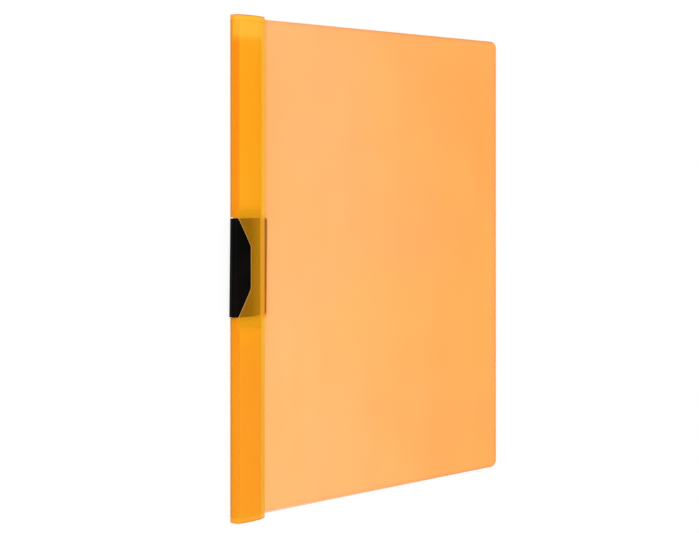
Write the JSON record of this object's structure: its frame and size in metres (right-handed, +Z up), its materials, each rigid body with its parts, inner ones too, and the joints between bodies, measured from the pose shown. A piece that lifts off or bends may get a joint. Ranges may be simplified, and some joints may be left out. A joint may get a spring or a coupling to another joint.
{
  "type": "clip folder",
  "caption": "Film folder for loose A4 sheets: a domed spine strip with a trapezoid window, a black steel spring clip that slides out of it, and a hinged frosted front cover.",
  "frame": {"origin": "on the table, in the middle of the folder's outline", "axes": "+Y along the spine towards the top of the sheets, +X from the spine to the fore edge, +Z up out of the front cover; the folder lies on its back cover"},
  "size_m": [0.2218, 0.31, 0.0087],
  "materials": {
    "orange_film": "translucent orange polypropylene film, satin",
    "frosted_film": "clear polypropylene film, finely frosted",
    "black_steel": "black coated spring steel, satin"
  },
  "bodies": {
    "folder": {"back_cover_and_spine": "orange_film", "front_cover_weld_margin": "frosted_film"},
    "cover": {"front_cover": "frosted_film"},
    "clip": {"spring_clip": "black_steel"}
  },
  "joints": [
    {"name": "cover_hinge", "type": "hinge", "parent": "folder", "child": "cover", "pos_m": [-0.08491, 0, 0.00343], "axis": [0, -1, 0], "range_deg": [0, 140]},
    {"name": "clip_slide", "type": "slide", "parent": "folder", "child": "clip", "axis": [-1, 0, 0], "range_m": [0, 0.02]}
  ]
}
